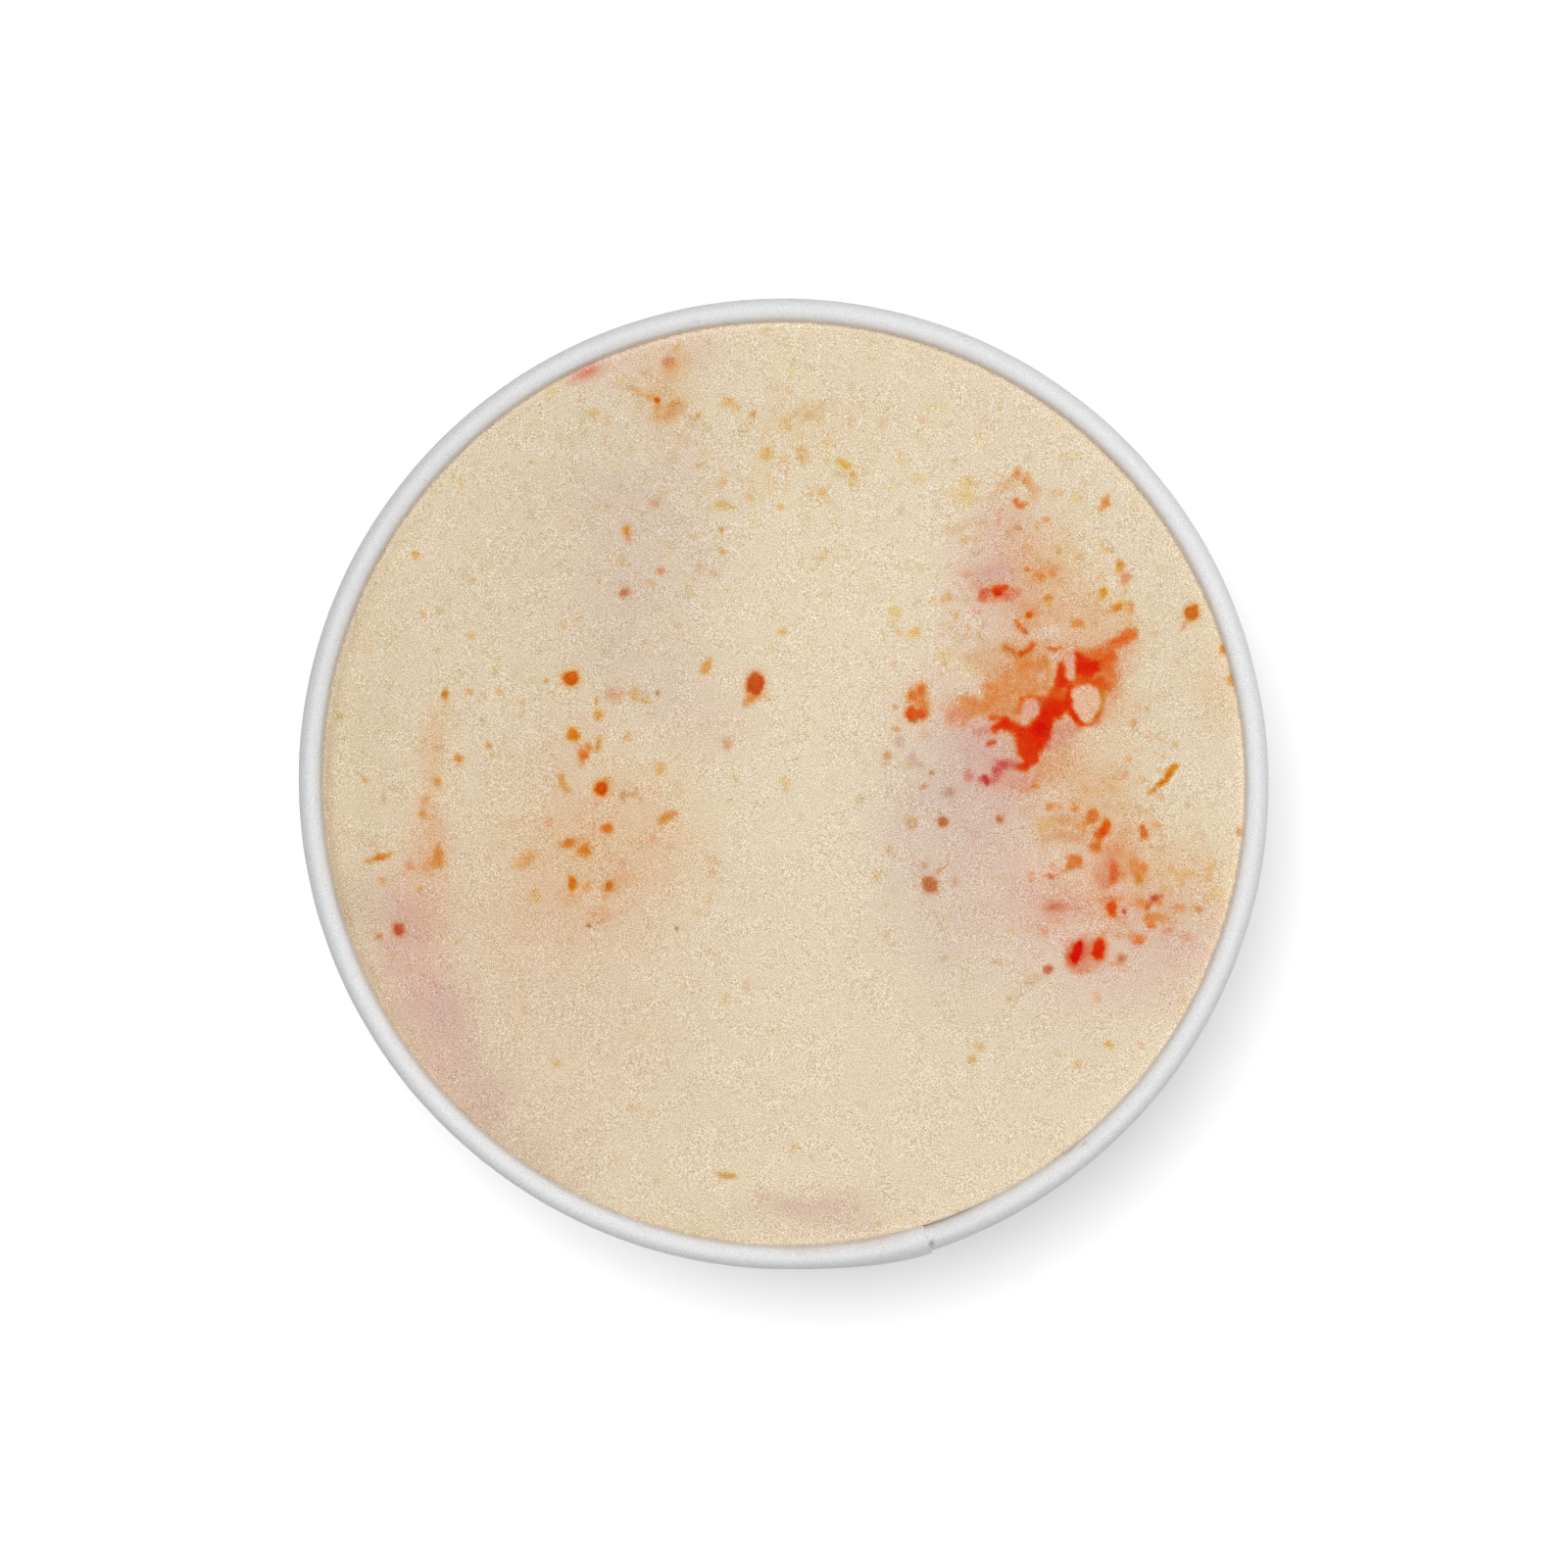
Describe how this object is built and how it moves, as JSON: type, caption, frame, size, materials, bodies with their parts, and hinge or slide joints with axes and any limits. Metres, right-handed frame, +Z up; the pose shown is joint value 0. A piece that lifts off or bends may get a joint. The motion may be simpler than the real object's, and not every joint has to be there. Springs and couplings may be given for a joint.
{
  "type": "ice cream cup",
  "caption": "Round paper cup with a rolled rim, lapped side seam and raised floor, filled to just under the rim with cream ice cream that has a red fruit ripple.",
  "frame": {"origin": "centre of the base ring, on the surface that the cup stands on", "axes": "+Z up along the cup's axis; the lap seam is on the -Y side, slightly towards +X"},
  "size_m": [0.096, 0.096, 0.06],
  "materials": {
    "paper_wall": "white board with a thin satin lining, bare cut edges",
    "paper_floor": "white board, satin lined on the food side",
    "ice_cream": "matt frozen cream with a fine frost grain, red and orange fruit ripple and small fruit bits"
  },
  "bodies": {
    "root": {"sidewall": "paper_wall", "base_disc": "paper_floor", "ice_cream": "ice_cream"}
  },
  "joints": []
}
